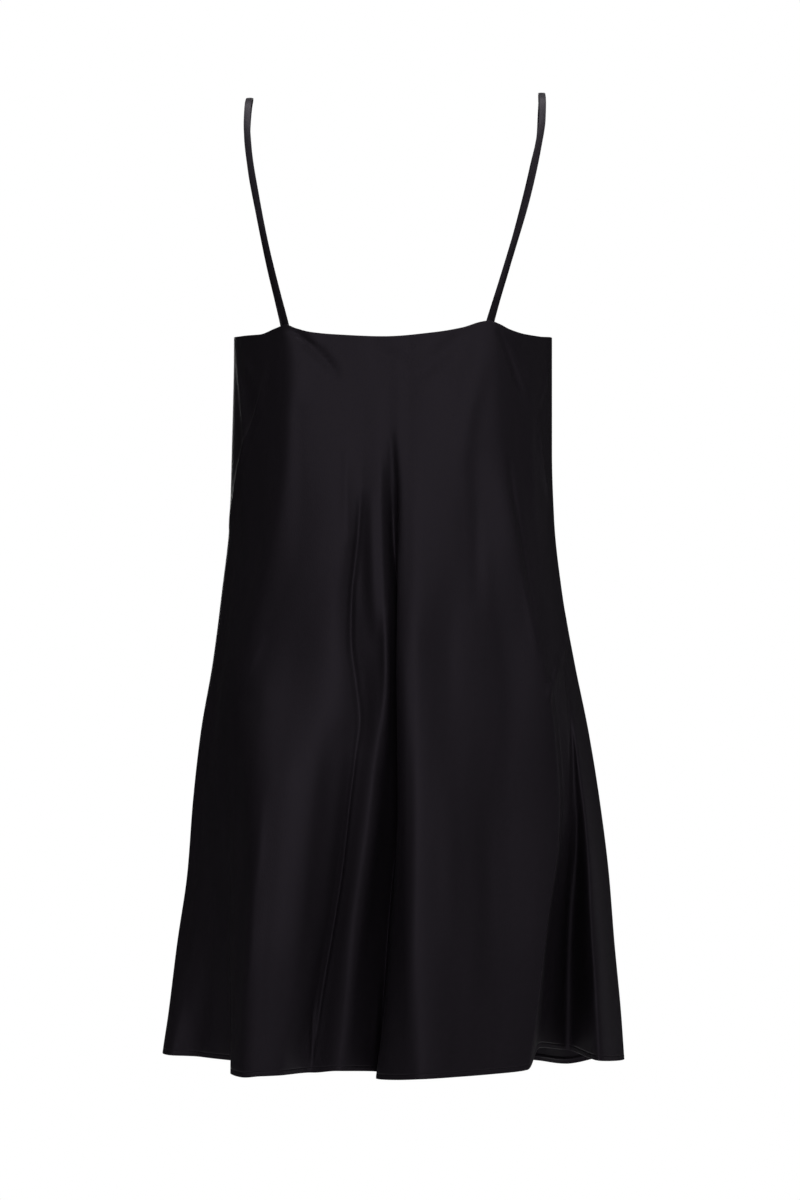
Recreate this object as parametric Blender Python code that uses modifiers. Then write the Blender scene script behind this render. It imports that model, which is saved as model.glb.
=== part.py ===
"""A slip dress in the shape that it has when worn: a back panel, a front panel and two shoulder straps.

Millimetres in the tables, metres in the model. The dress faces -Y, +X is the wearer's left and +Z is up.
The origin lies midway between the two straps, on the line where they rest on the shoulders.
"""

import math
from collections import namedtuple

import bmesh
import bpy
import numpy as np

MM = 0.001

# Cloth and straps
WALL = 1.2  # thickness of a panel
STRAP_WALL = 1.3
STRAP_WIDTH = 6.0
SEW_GAP = 0.7  # between a panel's inner face and a strap that is sewn to it
SEAM_GAP = 0.3  # between the two panels at a side seam, on their inner side
TUCK = 12.0  # how far a strap's end goes down behind the top edge

STRAP_TURN_SHARES = (0, 0.08, 0.5, 0.92, 1)  # shares of a strap's length between which it turns to lie flat

# Mesh
ROWS = 26
STRAP_STEPS = 54
STRAP_COLUMNS = 2
TUCK_KNOTS = 3

SATIN_BLACK = (0.0086, 0.0073, 0.0091)
STRAP_BLACK = (0.0080, 0.0070, 0.0086)
SATIN_ROUGHNESS = 0.42

# The full form of the body of the dress at each height, before the folds are set into it.
Level = namedtuple("Level", "height left right back front")
FORM = (
    Level(-190, 143, 143, 97, 118),
    Level(-220, 143, 143, 98, 119),
    Level(-320, 145, 143, 102, 121),
    Level(-382, 147, 145, 105, 115),
    Level(-446, 154, 152, 110, 115),
    Level(-508, 162, 163, 116, 119),
    Level(-572, 173, 176, 124, 127),
    Level(-634, 180, 186, 132, 134),
    Level(-698, 185, 194, 141, 142),
    Level(-760, 194, 199, 149, 150),
    Level(-824, 202, 205, 155, 157),
    Level(-866, 208, 208, 159, 161),
    Level(-900, 211, 211, 161, 163),
)
ROUNDNESS = 2.3  # exponent of the section: 2 is an ellipse, more is squarer

# Lines that run down the cloth from the top edge to the hem, along the ridges and valleys of its folds.
# column: the line's place in the panel's grid, counted from the first side seam.
# across: hundredths of the half width, plus to the wearer's left, at each height of FOLD_HEIGHTS.
# set_back: how far the line lies in from the full form at those heights. hem: the height of its lower end.
FOLD_HEIGHTS = (-222, -310, -400, -500, -620, -740, -866)
FoldLine = namedtuple("FoldLine", "name column across set_back hem")
BACK_LINES = (
    FoldLine("seam_left", 0, (100,) * 7, (0,) * 7, -859.6),
    FoldLine("flap_left", 3, (97, 97, 96, 95, 94, 95, 97), (5, 5, 9, 15, 30, 36, 21), -858.8),
    FoldLine("side_left", 6, (91, 90, 90, 91, 87, 85, 82), (-1, 0, 2, 4, 21, 46, 71), -860.0),
    FoldLine("recess_left", 9, (78, 78, 80, 87, 82, 76, 67), (-1, 0, -1, -1, 17, 43, 66), -859.7),
    FoldLine("edge_left", 11, (67, 66, 72, 81, 77, 73, 68), (-3, -4, -5, -4, 7, 16, 22), -864.7),
    FoldLine("bulge_edge", 13, (56, 55, 54, 70, 67, 64, 62), (2, 1, 3, 2, -10, -7, 2), -865.0),
    FoldLine("bulge_left", 15, (41, 40, 39, 52, 55, 56, 55), (8, 7, 7, 10, -5, -2, 7), -863.8),
    FoldLine("bulge_right", 17, (31, 30, 28, 36, 40, 42, 48), (10.5, 10, 10, 13, 5, 11, 15), -863.5),
    FoldLine("valley_soft", 20, (18, 17, 18, 14, 21, 28, 34), (12.5, 12.5, 15, 18, 26, 39, 47), -864.1),
    FoldLine("ridge_thin", 23, (10, 9, 6.7, 4.4, 11, 19, 23), (13.5, 13, 13, 16, 22, 33, 42), -861.6),
    FoldLine("valley_mid", 26, (2.8, 2.4, -0.7, -4, -3, 2.1, 6), (13.5, 13.5, 23, 30, 46, 65, 70), -865.9),
    FoldLine("edge_mid", 28, (-4.2, -3.5, -3.1, -2, -2.4, 0, 7), (13.5, 13, 13, 13, 22, 38, 46), -868.1),
    FoldLine(
        "lip_mid",
        30,
        (-9.1, -9.1, -8.9, -5.6, -7.1, -4.6, -1.4),
        (13.5, 13, 11, 7, 8, 18, 23),
        -866.5,
    ),
    FoldLine("ridge_mid", 32, (-14, -14, -16, -12, -12, -11, -12), (13, 12.5, 10, 5, 4, 8, 12), -864.5),
    FoldLine("face_mid", 35, (-31, -32, -40, -33, -32, -31, -30), (11, 10.5, 11, 12, 11, 15, 22), -863.9),
    FoldLine("face_right", 38, (-48, -50, -57, -58, -53, -49, -44), (8, 8, 8, 12, 16, 19, 27), -863.0),
    FoldLine("edge_right", 41, (-64, -67, -76, -82, -79, -68, -56), (3, 3, -2, -2, 7, 13, 28), -861.0),
    FoldLine("recess_inner", 44, (-76, -79, -83, -85, -82, -69, -61), (1, 1, -1, -1, 18, 40, 56), -846.1),
    FoldLine("recess_right", 46, (-84, -87, -88, -90, -87, -80, -74), (0, -3, -2, -1, 15, 67, 101), -855.3),
    FoldLine("side_right", 49, (-93, -94, -94, -94, -92, -89, -88), (0, -2, -2, -1, 2, 12, 14), -858.2),
    FoldLine("seam_right", 52, (-100,) * 7, (0,) * 7, -865.0),
)
FRONT_LINES = (
    FoldLine("seam_right", 0, (-100,) * 7, (0,) * 7, -865.0),
    FoldLine("side_right", 4, (-92, -92, -92, -92, -92, -92, -92), (0, 0, 0, 0, 1, 5, 10), -872.5),
    FoldLine("recess_right", 7, (-78, -79, -80, -81, -80, -78, -77), (0, 0, 0, 1, 7, 18, 30), -881.0),
    FoldLine("edge_right", 10, (-64, -66, -68, -69, -69, -67, -65), (-2, -2, 0, 0, 0, 2, 6), -883.4),
    FoldLine("bulge_right", 14, (-45, -45, -46, -47, -49, -50, -50), (0, -1, -1, -2, -2, -1, 2), -882.6),
    FoldLine("valley_right", 18, (-28, -27, -26, -26, -29, -33, -36), (0, 0, 2, 7, 16, 28, 40), -880.8),
    FoldLine("ridge_right", 21, (-15, -13, -12, -11, -14, -18, -21), (0, 0, 0, 0, 1, 4, 8), -879.6),
    FoldLine("face_mid", 25, (4, 5, 6, 6, 4, 2, 0), (1, 0, -1, -1, -1, 0, 3), -878.0),
    FoldLine("valley_left", 29, (22, 22, 23, 23, 22, 20, 18), (0, 0, 0, 3, 11, 21, 31), -876.4),
    FoldLine("ridge_left", 32, (33, 33, 33, 33, 33, 33, 32), (0, 0, 0, 0, 1, 4, 8), -875.0),
    FoldLine("bulge_left", 36, (52, 51, 51, 50, 51, 53, 53), (0, -1, -1, -2, -2, 0, 3), -872.2),
    FoldLine("recess_left", 40, (71, 72, 73, 73, 71, 70, 69), (-2, -2, 0, 0, 6, 17, 30), -869.4),
    FoldLine("edge_left", 43, (82, 82, 82, 82, 81, 80, 80), (0, 0, 0, 0, 1, 5, 10), -867.0),
    FoldLine("side_left", 46, (92, 92, 92, 92, 91, 91, 91), (0, 0, 0, 0, 1, 5, 12), -864.0),
    FoldLine("seam_left", 49, (100,) * 7, (0,) * 7, -859.6),
)

# The top edge of each panel: its height at places across.
EdgePoint = namedtuple("EdgePoint", "across height")
BACK_EDGE = (
    EdgePoint(-143, -217.6),
    EdgePoint(-131, -219.2),
    EdgePoint(-118, -218.4),
    EdgePoint(-104, -215.0),
    EdgePoint(-93, -209.9),
    EdgePoint(-85, -207.4),
    EdgePoint(-77, -208.6),
    EdgePoint(-62, -213.4),
    EdgePoint(-36, -218.0),
    EdgePoint(8, -221.6),
    EdgePoint(52, -219.8),
    EdgePoint(72, -217.8),
    EdgePoint(85, -214.6),
    EdgePoint(94, -211.4),
    EdgePoint(103, -214.0),
    EdgePoint(118, -218.6),
    EdgePoint(131, -218.4),
    EdgePoint(144, -217.0),
)
FRONT_EDGE = (
    EdgePoint(-143, -217.6),
    EdgePoint(-120, -214.4),
    EdgePoint(-100, -205.2),
    EdgePoint(-90, -202.6),
    EdgePoint(-80, -205.2),
    EdgePoint(-50, -219.4),
    EdgePoint(6, -231.0),
    EdgePoint(60, -219.4),
    EdgePoint(91, -205.2),
    EdgePoint(101, -202.6),
    EdgePoint(111, -205.2),
    EdgePoint(127, -213.6),
    EdgePoint(144, -217.0),
)

Panel = namedtuple("Panel", "name side lines edge depth")
PANELS = (
    Panel("back_panel", 1, BACK_LINES, BACK_EDGE, "back"),
    Panel("front_panel", -1, FRONT_LINES, FRONT_EDGE, "front"),
)
BACK, FRONT = PANELS

# The outer face of each strap between the top edges, from back to front.
StrapPoint = namedtuple("StrapPoint", "across depth height")
Strap = namedtuple("Strap", "name back_root points front_root")
STRAPS = (
    Strap(
        "strap_left",
        95.0,
        (
            StrapPoint(101.5, 82, -184),
            StrapPoint(112.0, 81, -141),
            StrapPoint(120.5, 72, -98),
            StrapPoint(127.8, 57, -53),
            StrapPoint(129.6, 44, -28),
            StrapPoint(129.2, 25, -8),
            StrapPoint(128.6, 0, -1.0),
            StrapPoint(131.0, -26, -8),
            StrapPoint(133.2, -46, -29),
            StrapPoint(130.6, -61, -58),
            StrapPoint(123.8, -76, -98),
            StrapPoint(115.2, -87, -143),
            StrapPoint(107.6, -92, -176),
        ),
        102.8,
    ),
    Strap(
        "strap_right",
        -85.6,
        (
            StrapPoint(-92.6, 82, -184),
            StrapPoint(-105.8, 82.5, -141),
            StrapPoint(-118.2, 74, -98),
            StrapPoint(-128.2, 58, -53),
            StrapPoint(-132.6, 44, -26),
            StrapPoint(-133.6, 25, -4),
            StrapPoint(-133.6, 0, 3.6),
            StrapPoint(-134.6, -26, -4),
            StrapPoint(-134.2, -46, -26),
            StrapPoint(-128.2, -61, -56),
            StrapPoint(-118.2, -77, -98),
            StrapPoint(-106.0, -90, -143),
            StrapPoint(-96.4, -97, -176),
        ),
        -90.4,
    ),
)


def curve(places, values, where):
    """Read a smooth curve through the values, one that never swings past them, at one place or several."""
    places = np.asarray(places, float)
    values = np.asarray(values, float)
    steps = np.diff(places)
    wide = steps.reshape([-1] + [1] * (values.ndim - 1))
    slopes = np.diff(values, axis=0) / wide
    tangents = np.concatenate([slopes[:1], np.zeros_like(slopes[1:]), slopes[-1:]])
    before, after = slopes[:-1], slopes[1:]
    agree = before * after > 0
    safe_before = np.where(agree, before, 1.0)
    safe_after = np.where(agree, after, 1.0)
    weight_a = 2 * wide[1:] + wide[:-1]
    weight_b = wide[1:] + 2 * wide[:-1]
    mean = (weight_a + weight_b) / (weight_a / safe_before + weight_b / safe_after)
    tangents[1:-1] = np.where(agree, mean, 0.0)
    piece = np.clip(np.searchsorted(places, where, side="right") - 1, 0, len(steps) - 1)
    step = steps[piece]
    t = (where - places[piece]) / step
    start = (1 + 2 * t) * (1 - t) ** 2 * values[piece]
    end = t**2 * (3 - 2 * t) * values[piece + 1]
    lean = t * (1 - t) ** 2 * tangents[piece] - t**2 * (1 - t) * tangents[piece + 1]
    return start + end + lean * step


def down(table, field, heights):
    """Read one column of a table that goes down the dress at the given heights."""
    levels = [-row.height for row in table]
    return curve(levels, [getattr(row, field) for row in table], -np.asarray(heights, float))


def edge_height(panel, across):
    """The height of a panel's top edge at a place across."""
    return curve([p.across for p in panel.edge], [p.height for p in panel.edge], across)


def line_values(panel, field, heights):
    """One field of every fold line at the given heights: an array of lines by heights."""
    levels = [-height for height in FOLD_HEIGHTS]
    drops = np.clip(-heights, levels[0], levels[-1])
    return np.array([curve(levels, getattr(line, field), drops) for line in panel.lines])


def section_points(panel, column, heights):
    """Points across, depth and height of one column of a panel, at the given heights."""
    columns = [line.column for line in panel.lines]
    shares = np.clip(line_values(panel, "across", heights) / 100, -1, 1)
    angles = np.arcsin(np.sign(shares) * np.abs(shares) ** (ROUNDNESS / 2))
    angle = curve(columns, angles, column)
    set_back = curve(columns, line_values(panel, "set_back", heights), column)
    half = np.where(angle > 0, down(FORM, "left", heights), down(FORM, "right", heights))
    across = half * np.sign(angle) * np.abs(np.sin(angle)) ** (2 / ROUNDNESS)
    full = down(FORM, panel.depth, heights) * np.abs(np.cos(angle)) ** (2 / ROUNDNESS)
    depth = panel.side * np.maximum(full - set_back, SEAM_GAP)
    return np.stack([across, depth, heights], axis=-1)


def column_points(panel, column, shares):
    """Points of one column of a panel, from the hem at share 0 to the top edge at share 1."""
    across_top = section_points(panel, column, np.array(FOLD_HEIGHTS[:1], float))[0, 0]
    high = edge_height(panel, across_top)
    low = curve([line.column for line in panel.lines], [line.hem for line in panel.lines], column)
    return section_points(panel, column, low + (high - low) * shares)


def make_material(name, colour, roughness):
    """A plain Principled material."""
    material = bpy.data.materials.new(name)
    material.use_nodes = True
    shader = material.node_tree.nodes["Principled BSDF"]
    shader.inputs["Base Color"].default_value = (*colour, 1)
    shader.inputs["Roughness"].default_value = roughness
    shader.inputs["Metallic"].default_value = 0
    material.diffuse_color = (*colour, 1)
    return material


def make_shell(name, points, wall, material, collection):
    """A named wall: a grid placed on the points, rows by columns in mm, thickened inward from them."""
    rows, columns = points.shape[:2]
    bm = bmesh.new()
    bmesh.ops.create_grid(bm, x_segments=columns - 1, y_segments=rows - 1, size=0.5)
    bm.verts.ensure_lookup_table()
    for vertex, point in zip(bm.verts, points.reshape(-1, 3)):
        vertex.co = point * MM
    bm.normal_update()
    mesh = bpy.data.meshes.new(name)
    bm.to_mesh(mesh)
    bm.free()
    mesh.shade_smooth()
    mesh.materials.append(material)
    thing = bpy.data.objects.new(name, mesh)
    collection.objects.link(thing)
    wall_modifier = thing.modifiers.new("wall", "SOLIDIFY")
    wall_modifier.thickness = wall * MM
    wall_modifier.offset = -1
    wall_modifier.use_even_offset = True
    return thing


def make_panel(panel, collection):
    """One panel: a grid whose columns follow the fold lines and whose rows go from the hem to the top edge."""
    shares = np.linspace(0, 1, ROWS + 1)
    count = panel.lines[-1].column
    columns = [column_points(panel, column, shares) for column in range(count + 1)]
    points = np.stack(columns, axis=1)
    material = make_material(panel.name, SATIN_BLACK, SATIN_ROUGHNESS)
    return make_shell(panel.name, points, WALL, material, collection)


def face_depth(panel, places, heights):
    """The depth of a panel's outer face at places across, each with its height, read between the grid's columns."""
    count = panel.lines[-1].column
    points = np.stack([section_points(panel, column, heights) for column in range(count + 1)])
    rising = points[:: -panel.side]
    found = [np.interp(place, rising[:, row, 0], rising[:, row, 1]) for row, place in enumerate(places)]
    return np.array(found)


def turn_of(panel, across, height):
    """The angle about Z by which a panel's face is turned sideways at a place across."""
    places = np.array([across - STRAP_WIDTH / 2, across + STRAP_WIDTH / 2])
    depth = face_depth(panel, places, np.full(2, height))
    return math.atan2(depth[1] - depth[0], STRAP_WIDTH)


def tucked_points(panel, root, above, count):
    """The outer face of a strap's end behind a panel, from its tip up to the top edge, in line with the point above."""
    edge = float(edge_height(panel, root))
    heights = np.linspace(edge - TUCK, edge, count)
    places = root + (heights - edge) * (above.across - root) / (above.height - edge)
    turn = turn_of(panel, root, edge)
    inset = panel.side * (WALL + SEW_GAP)
    depth = face_depth(panel, places, heights) - inset * math.cos(turn)
    return np.stack([places + inset * math.sin(turn), depth, heights], axis=-1)


def strap_line(strap):
    """The middle of a strap's outer face, from its tip at the back over the shoulder to its tip at the front."""
    back = tucked_points(BACK, strap.back_root, strap.points[0], TUCK_KNOTS)
    front = tucked_points(FRONT, strap.front_root, strap.points[-1], TUCK_KNOTS)
    between = np.array([[p.across, p.depth, p.height] for p in strap.points], float)
    knots = np.concatenate([back, between, front[::-1]])
    lengths = np.linalg.norm(np.diff(knots, axis=0), axis=1)
    travelled = np.concatenate([[0], np.cumsum(lengths)])
    wanted = np.linspace(0, travelled[-1], STRAP_STEPS + 1)
    return np.stack([curve(travelled, knots[:, axis], wanted) for axis in range(3)], axis=-1)


def make_strap(strap, collection):
    """One strap: a narrow band that lies against the panels at its ends and flat across the shoulder between them."""
    middle = strap_line(strap)
    tangents = np.gradient(middle, axis=0)
    tangents /= np.linalg.norm(tangents, axis=1)[:, None]
    back_turn = turn_of(BACK, strap.back_root, middle[0, 2])
    front_turn = turn_of(FRONT, strap.front_root, middle[-1, 2])
    turns = (back_turn, back_turn, 0, front_turn, front_turn)
    turn = curve(STRAP_TURN_SHARES, turns, np.linspace(0, 1, STRAP_STEPS + 1))
    sideways = np.stack([np.cos(turn), np.sin(turn), np.zeros_like(turn)], axis=-1)
    sideways -= np.sum(sideways * tangents, axis=1)[:, None] * tangents
    sideways /= np.linalg.norm(sideways, axis=1)[:, None]
    places = np.linspace(STRAP_WIDTH / 2, -STRAP_WIDTH / 2, STRAP_COLUMNS + 1)
    points = np.stack([middle + sideways * place for place in places], axis=1)
    material = make_material(strap.name, STRAP_BLACK, SATIN_ROUGHNESS)
    return make_shell(strap.name, points, STRAP_WALL, material, collection)


def main():
    for thing in list(bpy.data.objects):
        bpy.data.objects.remove(thing, do_unlink=True)
    collection = bpy.data.collections.new("slip_dress")
    bpy.context.scene.collection.children.link(collection)
    for panel in PANELS:
        make_panel(panel, collection)
    for strap in STRAPS:
        make_strap(strap, collection)


main()
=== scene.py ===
# %% [markdown]
# # A black satin slip dress, as it hangs when worn
#
# The dress is two panels of satin, sewn at the sides, and two narrow straps. This lesson builds each of them
# as thin cloth on the form that the imported model already has, so nothing has to be fitted afterwards.

# %% Load the imported model
import math
from collections import namedtuple

import bmesh
import bpy
import numpy as np
from mathutils import Matrix, Vector


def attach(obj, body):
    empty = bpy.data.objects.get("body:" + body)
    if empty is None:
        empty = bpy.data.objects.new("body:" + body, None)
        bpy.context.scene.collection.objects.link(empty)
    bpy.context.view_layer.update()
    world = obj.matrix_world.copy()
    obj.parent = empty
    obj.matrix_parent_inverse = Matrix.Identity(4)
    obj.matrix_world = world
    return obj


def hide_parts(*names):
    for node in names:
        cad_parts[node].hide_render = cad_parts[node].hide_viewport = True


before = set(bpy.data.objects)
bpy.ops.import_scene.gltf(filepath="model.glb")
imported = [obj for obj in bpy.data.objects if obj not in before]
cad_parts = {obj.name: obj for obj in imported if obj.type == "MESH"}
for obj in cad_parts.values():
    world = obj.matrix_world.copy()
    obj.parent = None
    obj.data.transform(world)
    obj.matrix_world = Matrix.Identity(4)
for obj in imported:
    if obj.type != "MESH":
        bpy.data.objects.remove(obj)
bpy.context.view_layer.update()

MM = 0.001
scene = bpy.context.scene
print("nodes:", sorted(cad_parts))

# %% [markdown]
# ## The camera
#
# A garment is shown from a few metres away with a long lens, which keeps its proportions. The camera stands
# level with the middle of the dress and looks at the back of it. The picture is half as tall again as it is
# wide, and the sensor is fitted to the tall side, so the lens follows from the height that has to fit in it.

# %% Place the camera
CAMERA_DISTANCE = 3.2
CAMERA_ACROSS = -0.0063
CAMERA_HEIGHT = -0.4528
CAMERA_TURN = (math.radians(90), 0, math.radians(180))  # level, and looking the way the wearer faces
VIEW_HEIGHT = 1.08  # how much of the world the picture takes in from top to bottom, at the dress
SENSOR_HEIGHT = 24.0

camera_data = bpy.data.cameras.new("camera")
camera_data.sensor_fit = "VERTICAL"
camera_data.sensor_height = SENSOR_HEIGHT
camera_data.lens = SENSOR_HEIGHT * CAMERA_DISTANCE / VIEW_HEIGHT
camera = bpy.data.objects.new("camera", camera_data)
camera.location = (CAMERA_ACROSS, CAMERA_DISTANCE, CAMERA_HEIGHT)
camera.rotation_euler = CAMERA_TURN
scene.collection.objects.link(camera)
scene.camera = camera
print("lens:", round(camera_data.lens, 1), "mm")

# %% [markdown]
# ## Colours and nodes
#
# Colours are written as the hex values that a screen shows. Blender works in linear light, so one function
# turns them over. A second small function adds a node with its settings and links, and every material below
# is made with it.

# %% Two helpers for materials
def linear(hex_colour):
    """A screen colour such as "#1a181b", as linear red, green, blue and alpha, by sRGB's own curve."""
    parts = [int(hex_colour[i : i + 2], 16) / 255 for i in (1, 3, 5)]
    return (*[c / 12.92 if c <= 0.04045 else ((c + 0.055) / 1.055) ** 2.4 for c in parts], 1.0)


def add_node(tree, kind, inputs=None, **settings):
    """Add a node. Settings are its own properties, inputs its sockets' values or what feeds them."""
    node = tree.nodes.new(kind)
    for name, value in settings.items():
        setattr(node, name, value)
    for name, value in (inputs or {}).items():
        if isinstance(value, bpy.types.NodeSocket):
            tree.links.new(value, node.inputs[name])
        else:
            node.inputs[name].default_value = value
    return node


# %% [markdown]
# ## The studio
#
# The dress is seen on white, so the world is white where the camera looks past the floor, but it gives almost
# no light of its own. Black satin shows its form only by soft reflections, so the lights are large squares.
# One stands behind the camera, one high on each side, one beyond each side to draw the outline, one in front
# of the wearer and one above. The floor is as far below the shoulders as it is for a person of middle height.

# %% Floor
FLOOR_HEIGHT = -1.42
FLOOR_RADIUS = 1.9
FLOOR_CORNERS = 96
FLOOR_WHITE = "#f4f4f4"
FLOOR_ROUGHNESS = 0.9

bm = bmesh.new()
bmesh.ops.create_circle(bm, cap_ends=True, segments=FLOOR_CORNERS, radius=FLOOR_RADIUS)
bmesh.ops.translate(bm, verts=bm.verts, vec=(0, 0, FLOOR_HEIGHT))
floor_mesh = bpy.data.meshes.new("floor")
bm.to_mesh(floor_mesh)
bm.free()
floor = bpy.data.objects.new("floor", floor_mesh)
scene.collection.objects.link(floor)

floor_paint = bpy.data.materials.new("studio_floor_matt_paint")
floor_paint.use_nodes = True
floor_shader = floor_paint.node_tree.nodes["Principled BSDF"]
floor_shader.inputs["Base Color"].default_value = linear(FLOOR_WHITE)
floor_shader.inputs["Roughness"].default_value = FLOOR_ROUGHNESS
floor_mesh.materials.append(floor_paint)
print("floor:", FLOOR_HEIGHT, "m from the shoulders")

# %% World
WHITE = (1, 1, 1, 1)
WORLD_LIGHT = 0.015  # strength of the light that the world gives
WORLD_SEEN = 1.0  # strength at which the camera sees it

world = bpy.data.worlds.new("studio")
world.use_nodes = True
scene.world = world
world_tree = world.node_tree
rays = add_node(world_tree, "ShaderNodeLightPath")
lighting = add_node(world_tree, "ShaderNodeBackground", {"Color": WHITE, "Strength": WORLD_LIGHT})
backdrop = add_node(world_tree, "ShaderNodeBackground", {"Color": WHITE, "Strength": WORLD_SEEN})
chosen = add_node(world_tree, "ShaderNodeMixShader", {0: rays.outputs["Is Camera Ray"]})
world_tree.links.new(lighting.outputs[0], chosen.inputs[1])
world_tree.links.new(backdrop.outputs[0], chosen.inputs[2])
world_tree.links.new(chosen.outputs[0], world_tree.nodes["World Output"].inputs["Surface"])
print("world:", [node.name for node in world_tree.nodes])

# %% Lights
SoftLight = namedtuple("SoftLight", "name place size power")  # metres and watts
LIGHTS = (
    SoftLight("key", (-0.35, 3.4, 0.1), 1.6, 30),
    SoftLight("upper_right", (-1.6, 1.1, 1.1), 1.0, 12),
    SoftLight("upper_left", (1.0, 1.1, 0.9), 0.8, 3.6),
    SoftLight("rim_right", (-2.6, -0.5, -0.7), 1.0, 3.2),
    SoftLight("rim_left", (2.6, -0.6, 1.2), 1.0, 4),
    SoftLight("front", (0.3, -3.3, 0.3), 1.8, 46),
    SoftLight("top", (0.0, 0.0, 2.4), 2.4, 90),
)
for light in LIGHTS:
    data = bpy.data.lights.new(light.name, "AREA")
    data.shape = "SQUARE"
    data.size = light.size
    data.energy = light.power
    lamp = bpy.data.objects.new(light.name, data)
    lamp.location = light.place
    aim = Vector((0, 0, CAMERA_HEIGHT)) - lamp.location
    lamp.rotation_euler = aim.to_track_quat("-Z", "Y").to_euler()
    scene.collection.objects.link(lamp)
scene.view_settings.view_transform = "Standard"
print("lights:", [light.name for light in LIGHTS])

# %% [markdown]
# ## The form of the dress
#
# The panels could be simulated from flat cloth, but a fold that has to fall in one known place is surer when
# it is written down. So the form comes from tables in millimetres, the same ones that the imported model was
# made from. `FORM` is the full section at each height. The fold lines run down the cloth from the top edge to
# the hem, along the ridges and valleys of its large folds, and say how far each lies in from the full form.
# Here they are read at many more places, so the folds come out smooth.

# %% The full form
Level = namedtuple("Level", "height left right back front")  # reach to each side at this height
FORM = (
    Level(-190, 143, 143, 97, 118),
    Level(-220, 143, 143, 98, 119),
    Level(-320, 145, 143, 102, 121),
    Level(-382, 147, 145, 105, 115),
    Level(-446, 154, 152, 110, 115),
    Level(-508, 162, 163, 116, 119),
    Level(-572, 173, 176, 124, 127),
    Level(-634, 180, 186, 132, 134),
    Level(-698, 185, 194, 141, 142),
    Level(-760, 194, 199, 149, 150),
    Level(-824, 202, 205, 155, 157),
    Level(-866, 208, 208, 159, 161),
    Level(-900, 211, 211, 161, 163),
)
ROUNDNESS = 2.3  # exponent of the section: 2 is an ellipse, more is squarer
print("levels:", [level.height for level in FORM])

# %% [markdown]
# ### The fold lines
#
# A line's column is its place in the panel, counted from the first side seam. At each height of
# `FOLD_HEIGHTS` it says how far across it lies, in hundredths of the half width and plus to the wearer's
# left, and how far it lies in from the full form. Its hem is the height of its lower end.

# %% Fold lines of the back panel
FOLD_HEIGHTS = (-222, -310, -400, -500, -620, -740, -866)
EACH = len(FOLD_HEIGHTS)
FoldLine = namedtuple("FoldLine", "name column across set_back hem")
BACK_LINES = (
    FoldLine("seam_left", 0, (100,) * EACH, (0,) * EACH, -859.6),
    FoldLine("flap_left", 3, (97, 97, 96, 95, 94, 95, 97), (5, 5, 9, 15, 30, 36, 21), -858.8),
    FoldLine("side_left", 6, (91, 90, 90, 91, 87, 85, 82), (-1, 0, 2, 4, 21, 46, 71), -860.0),
    FoldLine("recess_left", 9, (78, 78, 80, 87, 82, 76, 67), (-1, 0, -1, -1, 17, 43, 66), -859.7),
    FoldLine("edge_left", 11, (67, 66, 72, 81, 77, 73, 68), (-3, -4, -5, -4, 7, 16, 22), -864.7),
    FoldLine("bulge_edge", 13, (56, 55, 54, 70, 67, 64, 62), (2, 1, 3, 2, -10, -7, 2), -865.0),
    FoldLine("bulge_left", 15, (41, 40, 39, 52, 55, 56, 55), (8, 7, 7, 10, -5, -2, 7), -863.8),
    FoldLine("bulge_right", 17, (31, 30, 28, 36, 40, 42, 48), (10.5, 10, 10, 13, 5, 11, 15), -863.5),
    FoldLine("valley_soft", 20, (18, 17, 18, 14, 21, 28, 34), (12.5, 12.5, 15, 18, 26, 39, 47), -864.1),
    FoldLine("ridge_thin", 23, (10, 9, 6.7, 4.4, 11, 19, 23), (13.5, 13, 13, 16, 22, 33, 42), -861.6),
    FoldLine("valley_mid", 26, (2.8, 2.4, -0.7, -4, -3, 2.1, 6), (13.5, 13.5, 23, 30, 46, 65, 70), -865.9),
    FoldLine("edge_mid", 28, (-4.2, -3.5, -3.1, -2, -2.4, 0, 7), (13.5, 13, 13, 13, 22, 38, 46), -868.1),
    FoldLine("lip_mid", 30, (-9.1, -9.1, -8.9, -5.6, -7.1, -4.6, -1.4), (13.5, 13, 11, 7, 8, 18, 23), -866.5),
    FoldLine("ridge_mid", 32, (-14, -14, -16, -12, -12, -11, -12), (13, 12.5, 10, 5, 4, 8, 12), -864.5),
    FoldLine("face_mid", 35, (-31, -32, -40, -33, -32, -31, -30), (11, 10.5, 11, 12, 11, 15, 22), -863.9),
    FoldLine("face_right", 38, (-48, -50, -57, -58, -53, -49, -44), (8, 8, 8, 12, 16, 19, 27), -863.0),
    FoldLine("edge_right", 41, (-64, -67, -76, -82, -79, -68, -56), (3, 3, -2, -2, 7, 13, 28), -861.0),
    FoldLine("recess_inner", 44, (-76, -79, -83, -85, -82, -69, -61), (1, 1, -1, -1, 18, 40, 56), -846.1),
    FoldLine("recess_right", 46, (-84, -87, -88, -90, -87, -80, -74), (0, -3, -2, -1, 15, 67, 101), -855.3),
    FoldLine("side_right", 49, (-93, -94, -94, -94, -92, -89, -88), (0, -2, -2, -1, 2, 12, 14), -858.2),
    FoldLine("seam_right", 52, (-100,) * EACH, (0,) * EACH, -865.0),
)
print("fold lines of the back panel:", [line.name for line in BACK_LINES])

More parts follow.
